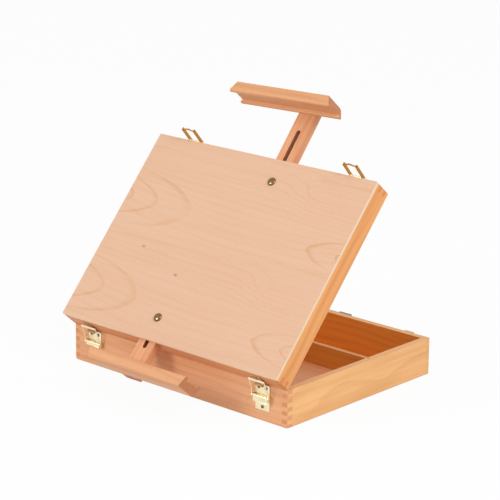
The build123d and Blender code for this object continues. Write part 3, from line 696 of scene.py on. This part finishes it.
class EASEL_OT_box_boards(bpy.types.Operator):
    """Finishes the box's walls, floor, divider and tray in wood"""

    bl_idname = "easel.box_boards"
    bl_label = "Box boards"

    def execute(self, context):
        wood = context.scene.easel_wood
        boards = (
            # node, tone, the grain's turn, seed, end grain, a painted shade tone for its inner side,
            # or for both
            ("box_front_wall", wood.front, UPRIGHT, 3, END_PALE, None, False),
            ("box_rear_wall", wood.sides, UPRIGHT, 8, END_PALE, wood.inside, False),
            ("box_right_wall", wood.sides, QUARTER @ UPRIGHT, 5, END_DARK, None, False),
            ("box_left_wall", wood.sides, QUARTER @ UPRIGHT, 12, END_DARK, None, False),
            # The floor is painted wholly in the shade tone
            ("box_floor", wood.inside, LEVEL, 4, END_DARK, None, False),
            ("tray_board", wood.front, LEVEL, 9, END_DARK, None, False),
            ("tray_cleats", wood.sides, QUARTER, 2, END_DARK, None, False),
            ("long_divider", wood.front, UPRIGHT, 6, END_DARK, wood.inside, True),
        )
        for node, tone, turn, seed, ends, flank, both in boards:
            grain(node, tone, turn, seed, wood.ring, ends=ends, flank=flank, both=both)
        return {"FINISHED"}


class EASEL_OT_lid_boards(bpy.types.Operator):
    """Finishes the lid's rails and its plywood board"""

    bl_idname = "easel.lid_boards"
    bl_label = "Lid boards"

    def execute(self, context):
        wood = context.scene.easel_wood
        rails = (
            ("lid_front_rail", wood.lid_front, LID_TURN @ UPRIGHT, 7, END_HONEY),
            ("lid_rear_rail", wood.lid_front, LID_TURN @ UPRIGHT, 10, END_HONEY),
            ("lid_left_rail", wood.rails, LID_TURN @ QUARTER @ UPRIGHT, 11, END_DARK),
            ("lid_right_rail", wood.rails, LID_TURN @ QUARTER @ UPRIGHT, 1, END_DARK),
        )
        for node, tone, turn, seed, ends in rails:
            grain(node, tone, turn, seed, wood.ring, ends=ends)
        paint("drawing_panel", plywood("plywood", wood.face, wood.ply_edge, wood.figure))
        return {"FINISHED"}


class EASEL_OT_arms_and_bars(bpy.types.Operator):
    """Finishes the sliding arms and the bars that hold the canvas"""

    bl_idname = "easel.arms_and_bars"
    bl_label = "Arms and bars"

    def execute(self, context):
        wood = context.scene.easel_wood
        half_slot = 0.0037
        pieces = (
            ("upper_mast", wood.arms, MAST_TURN @ QUARTER, 6, half_slot),
            ("lower_arm", wood.arms, LID_TURN @ QUARTER, 14, half_slot),
            ("top_clamp", wood.bars, MAST_TURN, 3, 0.0),
            ("canvas_ledge", wood.bars, LID_TURN, 9, 0.0),
        )
        for node, tone, turn, seed, slot in pieces:
            grain(node, tone, turn, seed, wood.ring, slot=slot)
            soften(node, wood.soft_edge)
        return {"FINISHED"}


class EASEL_OT_hardware(bpy.types.Operator):
    """Finishes the latches, catches, bolts, nuts, handle and stay"""

    bl_idname = "easel.hardware"
    bl_label = "Metal parts"

    def execute(self, context):
        metal = context.scene.easel_metal
        brass = plated("brass plate", metal.brass, 0.30, 1)
        # Catches: brass darkened as painted shade
        catch_shade = plated("aged brass", metal.catch_shade, 0.28, 4)
        # Dark base colour: painted reflection of a dark room
        bolt = plated("bolt steel", metal.bolt, 0.10, 7)
        zinc = plated("zinc", metal.zinc, 0.22, 5)
        dark = plated("dark bronze", metal.dark, 0.30, 9)
        for node in NODES:
            if node.startswith(("front_catch", "rear_catch")):
                paint(node, catch_shade)
            elif node.startswith(("front_latch", "rear_latch", "stay")):
                paint(node, brass)
            elif node.endswith("bolt"):
                paint(node, bolt)
            elif node.endswith(("washer", "wing_nut")):
                paint(node, zinc)
            elif node.startswith("handle"):
                paint(node, dark)
            else:
                continue
            if "screws" not in node and not node.endswith("bolt"):
                soften(node, metal.soft_edge)
        return {"FINISHED"}


class EASEL_OT_screws(bpy.types.Operator):
    """Puts cross-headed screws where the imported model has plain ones"""

    bl_idname = "easel.screws"
    bl_label = "Screws"

    def execute(self, context):
        metal = context.scene.easel_metal
        # Dark base colour: painted shade in the screws' recesses
        bright = plated("screw steel", metal.bolt, 0.15, 3)
        patterns = {}
        heights = {}
        for size, head, height, shank, length, share in (
            # name, then width and height of the head, shank, length, share of the recess
            ("small", 0.0048, 0.0011, 0.0022, 0.0082, 1.0),
            ("tiny", 0.0040, 0.0009, 0.0022, 0.0082, 0.85),
            ("long", 0.0070, 0.0016, 0.0035, 0.0220, 1.7),
        ):
            heights[size] = height
            patterns[size] = cross_screw(
                head, height, shank, length, metal.recess * share, metal.segments
            )
        groups = (
            ("front_latch_screws", "small", -BACK),
            ("rear_latch_screws", "small", LID_UP),
            ("front_catch_screws", "tiny", -LID_UP),
            ("rear_catch_screws", "tiny", BACK),
            ("handle_screws", "small", BACK),
            ("stay_track_screws", "small", ACROSS),
            ("clamp_screws", "long", -LID_OUT),
            ("ledge_screws", "long", -LID_OUT),
        )
        for node, size, out in groups:
            name = node.replace("_screws", "_cross_screws")
            thing = screws(name, node, patterns[size], heights[size], out, bright)
        return {"FINISHED"}


class EASEL_OT_latches(bpy.types.Operator):
    """Makes the latches' curled levers and their bails"""

    bl_idname = "easel.latches"
    bl_label = "Levers and bails"

    # The lever's sheet, the round of a cut edge, and how far a bail reaches from its rod
    sheet = 0.0006
    edge = 0.00015
    reach = 0.026

    def execute(self, context):
        metal = context.scene.easel_metal
        brass = plated("latch brass", metal.brass, 0.30, 2)
        amber = plated("amber brass", metal.amber, 0.22, 6)
        up = Vector((0, 0, 1))
        latches = (
            # where, end, the lever's width and drop, the bail's lean, the lever's opening,
            # and the way up and the way out of the plate
            ("front", "left", 0.0256, 0.0050, 20.0, 0.0, up, -BACK),
            ("front", "right", 0.0256, 0.0085, 20.0, 0.0, up, -BACK),
            ("rear", "left", 0.0170, 0.0085, 172.0, 160.0, -LID_OUT, LID_UP),
            ("rear", "right", 0.0170, 0.0085, 172.0, 160.0, -LID_OUT, LID_UP),
        )
        for where, end, width, drop, lean, opened, along, out in latches:
            pivot = joint_at(f"{where}_bail_{end}_turn")
            plate = Matrix((along.cross(out), along, out)).transposed()
            lever = self.lever(width, drop)
            put(lever, pivot, plate @ Matrix.Rotation(radians(-opened), 3, "X"))
            thing = self.keep(f"{where}_lever_{end}", f"{where}_latch_lever_{end}", lever, brass)
            wall = thing.modifiers.new("Sheet", "SOLIDIFY")
            wall.thickness = self.sheet
            wall.offset = 0.0
            round_edges(thing, self.edge, 50)
            bail = self.wire_bail(width) if where == "front" else self.strap_bail(width)
            put(bail, pivot, plate @ Matrix.Rotation(radians(lean), 3, "X"))
            tone = brass if where == "front" else amber
            thing = self.keep(f"{where}_bail_{end}", f"{where}_latch_bail_{end}", bail, tone)
            round_edges(thing, self.edge, 50)
        return {"FINISHED"}

    def keep(self, name, node, maker, material):
        """Puts a latch piece in its node's stead."""
        thing = piece(f"{name}_dressed", maker, material, body_of(node))
        smooth_below(thing.data, radians(35))
        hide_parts(node)
        return thing

    def lever(self, width, drop):
        """A curl round the pivot rod, a flat tongue and a turned-out finger lip; y up and z out."""
        curl = 0.00175
        lip = 0.0009
        begin, round_rod, turned_out = radians(-140), radians(230), radians(60)
        return folded_sheet(
            width,
            (curl * cos(begin), curl * sin(begin)),
            (
                ("bend", (0.0, 0.0), round_rod),
                ("run", (-(drop - lip), 0.0)),
                ("bend", (-(drop - lip), curl + lip), turned_out),
            ),
        )

    def wire_bail(self, width):
        """Two wire arms from eyes on the pivot rod to a flat folded strip; y runs to the strip."""
        eye = width / 2 + 0.0023
        far = width / 2 + 0.0006
        wire = 0.0007
        bends = ((eye, 0.0022), (eye, 0.0050), (far, 0.0110), (far, self.reach))
        maker = bmesh.new()
        for side in (-1, 1):
            self.eye(maker, side * eye)
            self.rod(maker, [Vector((side * x, y, 0.0)) for x, y in bends], wire)
        self.strip(maker, far + wire, self.reach)
        return maker

    def eye(self, maker, x):
        """The flattened ring at an arm's end, round the pivot rod."""
        flat, ring = 0.00075, 0.0019
        verts = bmesh.ops.create_circle(maker, segments=4, radius=flat, cap_ends=False)["verts"]
        bmesh.ops.rotate(maker, verts=verts, cent=(0, 0, 0), matrix=Matrix.Rotation(pi / 4, 3, "Z"))
        bmesh.ops.translate(maker, verts=verts, vec=(x, ring, 0))
        edges = list(dict.fromkeys(edge for vert in verts for edge in vert.link_edges))
        full_turn(maker, verts + edges, (1, 0, 0), 20)

    def rod(self, maker, path, radius):
        """A round wire along straight runs."""
        ring = bmesh.ops.create_circle(
            maker, segments=10, radius=radius, cap_ends=True, matrix=self.across(path, 0),
        )["verts"]
        face = next(face for face in maker.faces if set(face.verts) == set(ring))
        for step in range(1, len(path)):
            made = bmesh.ops.extrude_face_region(maker, geom=[face])["geom"]
            new = [item for item in made if isinstance(item, bmesh.types.BMVert)]
            move = self.across(path, step) @ self.across(path, step - 1).inverted()
            bmesh.ops.transform(maker, matrix=move, verts=new)
            if step > 1:
                bmesh.ops.delete(maker, geom=[face], context="FACES_ONLY")
            face = next(item for item in made if isinstance(item, bmesh.types.BMFace))

    def across(self, path, step):
        """The turn and place of a wire's section at a bend."""
        runs = [(b - a).normalized() for a, b in zip(path, path[1:])]
        before = runs[max(step - 1, 0)]
        after = runs[min(step, len(runs) - 1)]
        return Matrix.Translation(path[step]) @ stand(before + after, Vector((0, 0, 1))).to_4x4()

    def strip(self, maker, half, length):
        """The strip that hooks on the catch: flat in front, folded back along both long edges."""
        low, flat, lip, fold = 0.0002, 0.0022, 0.0004, 0.0006
        square = radians(-90)
        sheet = folded_sheet(
            half * 2,
            (length - flat / 2 - fold, -low),
            (
                ("run", (0.0, lip)),
                ("bend", (length - flat / 2, low), square),
                ("run", (flat, 0.0)),
                ("bend", (length + flat / 2, low), square),
                ("run", (0.0, -lip)),
            ),
        )
        bmesh.ops.solidify(sheet, geom=sheet.faces[:], thickness=0.0005)
        mesh = bpy.data.meshes.new("strip")
        sheet.to_mesh(mesh)
        sheet.free()
        maker.from_mesh(mesh)
        bpy.data.meshes.remove(mesh)

    def strap_bail(self, width):
        """Two edgewise straps with round ends, and a thin bar with a hump; y runs to the bar."""
        inner = width / 2 + 0.0018
        outer = inner + 0.0010
        depth = 0.0046
        bar = 0.0011
        rise = 0.0016
        maker = bmesh.new()
        for side in (-1, 1):
            strap = block(
                maker,
                (outer - inner, self.reach + depth / 2 + bar, depth),
                (side * (inner + outer) / 2, (self.reach + bar - depth / 2) / 2, 0),
            )
            tail = [
                edge for edge in maker.edges
                if all(vert in strap and vert.co.y < 0 for vert in edge.verts)
                and abs(edge.verts[0].co.x - edge.verts[1].co.x) > NEAR
            ]
            bmesh.ops.bevel(
                maker, geom=tail, offset=depth * 0.49, segments=6, profile=0.5, affect="EDGES",
                material=-1,
            )
        bends = (
            (-outer, 0), (-0.0046, 0), (-0.0030, 0.5 * rise), (-0.0020, rise), (0.0020, rise),
            (0.0030, 0.5 * rise), (0.0046, 0), (outer, 0),
        )
        self.rod(maker, [Vector((x, self.reach + y, 0.0)) for x, y in bends], bar)
        return maker


class EASEL_OT_bolts(bpy.types.Operator):
    """Makes the two carriage bolts with their low domes and threads"""

    bl_idname = "easel.bolts"
    bl_label = "Carriage bolts"

    def execute(self, context):
        metal = context.scene.easel_metal
        # Dark base colour: painted reflection of a dark room on the dome
        steel = plated("bolt steel", metal.bolt, 0.14, 7)
        turn = stand(LID_OUT, ACROSS)
        below_board = 0.02
        neck_width, neck_height = 0.0063, 0.0034
        for end in ("upper", "lower"):
            node = f"{end}_carriage_bolt"
            shank = [
                point for group in islands(node) for point in group
                if (point - HINGE).dot(LID_OUT) < below_board
            ]
            centre = sum(shank, Vector()) / len(shank)
            seat = centre + LID_OUT * (BOARD_FACE - (centre - HINGE).dot(LID_OUT))
            maker = spun(self.outline(metal.bolt_head / 2), metal.segments * 2)
            block(maker, (neck_width, neck_width, neck_height), (0, 0, -neck_height / 2))
            put(maker, seat, turn)
            thing = piece(f"{end}_bolt_dressed", maker, steel, body_of(node))
            smooth_below(thing.data, radians(38))
            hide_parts(node)
        return {"FINISHED"}

    def outline(self, radius):
        """Half of the bolt's section: a low dome on a thin rim, the shank and its thread."""
        rim, dome = 0.0005, 0.0027
        crest, root, point = 0.00298, 0.00262, 0.0026
        thread_from, thread_to, tip = -0.0064, -0.0272, -0.0281
        pitch = 0.001
        points = [(0.0, rim + dome)]
        for step in range(1, 13):
            tilt = step * pi / 24
            points.append((radius * sin(tilt), rim + dome * cos(tilt)))
        points += [(radius, 0.0), (crest, 0.0), (crest, thread_from)]
        depth = thread_from
        while depth > thread_to:
            points += [(root, depth - pitch / 2), (crest, depth - pitch)]
            depth -= pitch
        return points + [(point, tip), (0.0, tip)]


class EASEL_OT_stage(bpy.types.Operator):
    """Adds the floor, the light and the camera at the photograph's angle"""

    bl_idname = "easel.stage"
    bl_label = "Stage"

    def execute(self, context):
        stage = context.scene.easel_stage
        scene = context.scene
        scene.view_settings.view_transform = "Standard"
        self.floor()
        self.room(stage)
        self.lamps()
        self.camera(stage)
        return {"FINISHED"}

    def floor(self):
        """A pale floor under the lowest point. The camera sees it nearly white."""
        finish = Finish(bpy.data.materials.new("floor"))
        seen, glossy, through = finish.rays()
        plain = finish.node("ShaderNodeBsdfDiffuse", sockets={"Color": FLOOR_GREY})
        white = finish.node("ShaderNodeEmission", sockets={"Color": WHITE, "Strength": 1.0})
        direct = finish.maths("MAXIMUM", glossy, through)
        amount = finish.maths("MAXIMUM", seen * 0.95, direct)
        mixed = finish.node("ShaderNodeMixShader", sockets={0: amount, 1: plain, 2: white})
        maker = bmesh.new()
        bmesh.ops.create_grid(maker, x_segments=1, y_segments=1, size=6.0)
        bmesh.ops.translate(maker, verts=maker.verts, vec=(0, 0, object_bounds()[0].z - 0.0002))
        thing = new_object("floor", maker, finish.end(mixed))
        thing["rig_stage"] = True

    def room(self, stage):
        """Soft light from all round. The camera, gloss and clear pieces see plain white."""
        world = bpy.data.worlds.new("room")
        bpy.context.scene.world = world
        finish = Finish(world, "ShaderNodeOutputWorld")
        seen, glossy, through = finish.rays()
        sockets = {"Color": WHITE, "Strength": stage.daylight}
        dim = finish.node("ShaderNodeBackground", sockets=sockets)
        white = finish.node("ShaderNodeBackground", sockets={"Color": WHITE, "Strength": 1.0})
        shown = finish.maths("MAXIMUM", seen, finish.maths("MAXIMUM", glossy, through))
        finish.end(finish.node("ShaderNodeMixShader", sockets={0: shown, 1: dim, 2: white}))

    def lamps(self):
        """Two broad lamps, both aimed at the middle of the easel."""
        middle = Vector((0, 0, 0.12))
        lamps = (
            ("key", (-1.6, -3.4, 1.9), 1.3, 56.0, (1.0, 0.99, 0.97)),
            ("side", (2.2, -0.35, 2.0), 1.4, 32.0, (1.0, 0.985, 0.96)),
        )
        for name, place, size, power, glow in lamps:
            light = bpy.data.lights.new(name, "AREA")
            light.shape = "SQUARE"
            light.size = size
            light.energy = power
            light.color = glow
            lamp = bpy.data.objects.new(name, light)
            bpy.context.scene.collection.objects.link(lamp)
            lamp.location = place
            lamp.rotation_euler = (middle - Vector(place)).to_track_quat("-Z", "Y").to_euler()

    def camera(self, stage):
        """The photograph's viewing angle."""
        a, e, r = stage.azimuth, stage.elevation, stage.roll
        back = Vector((sin(a) * cos(e), -cos(a) * cos(e), sin(e)))
        right = Vector((cos(a), sin(a), 0.0))
        up = back.cross(right)
        turned_right = right * cos(r) + up * sin(r)
        turned_up = up * cos(r) - right * sin(r)
        data = bpy.data.cameras.new("camera")
        data.sensor_width = 36.0
        data.lens = stage.lens
        data.clip_start = 0.05
        data.clip_end = 50.0
        camera = bpy.data.objects.new("camera", data)
        bpy.context.scene.collection.objects.link(camera)
        turn = Matrix((turned_right, turned_up, back)).transposed()
        place = Vector(stage.target) + back * stage.distance
        camera.matrix_world = Matrix.Translation(place) @ turn.to_4x4()
        bpy.context.scene.camera = camera


class EASEL_PT_panel(bpy.types.Panel):
    """Lists the easel's steps"""

    bl_idname = "EASEL_PT_panel"
    bl_label = "Box easel"
    bl_space_type = "VIEW_3D"
    bl_region_type = "UI"
    bl_category = "Easel"

    def draw(self, context):
        for step in STEPS:
            self.layout.operator(step.bl_idname)


SETTINGS = (
    ("easel_wood", EaselWood),
    ("easel_metal", EaselMetal),
    ("easel_stage", EaselStage),
)
STEPS = (
    EASEL_OT_box_boards,
    EASEL_OT_lid_boards,
    EASEL_OT_arms_and_bars,
    EASEL_OT_hardware,
    EASEL_OT_screws,
    EASEL_OT_latches,
    EASEL_OT_bolts,
    EASEL_OT_stage,
)


def register():
    for name, group in SETTINGS:
        bpy.utils.register_class(group)
        setattr(bpy.types.Scene, name, PointerProperty(type=group))
    for step in STEPS:
        bpy.utils.register_class(step)
    bpy.utils.register_class(EASEL_PT_panel)


def unregister():
    bpy.utils.unregister_class(EASEL_PT_panel)
    for step in reversed(STEPS):
        bpy.utils.unregister_class(step)
    for name, group in reversed(SETTINGS):
        delattr(bpy.types.Scene, name)
        bpy.utils.unregister_class(group)


def main():
    register()
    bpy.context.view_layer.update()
    bpy.ops.easel.box_boards()
    bpy.ops.easel.lid_boards()
    bpy.ops.easel.arms_and_bars()
    bpy.ops.easel.hardware()
    bpy.ops.easel.screws()
    bpy.ops.easel.latches()
    bpy.ops.easel.bolts()
    bpy.ops.easel.stage()


if __name__ == "__main__":
    main()
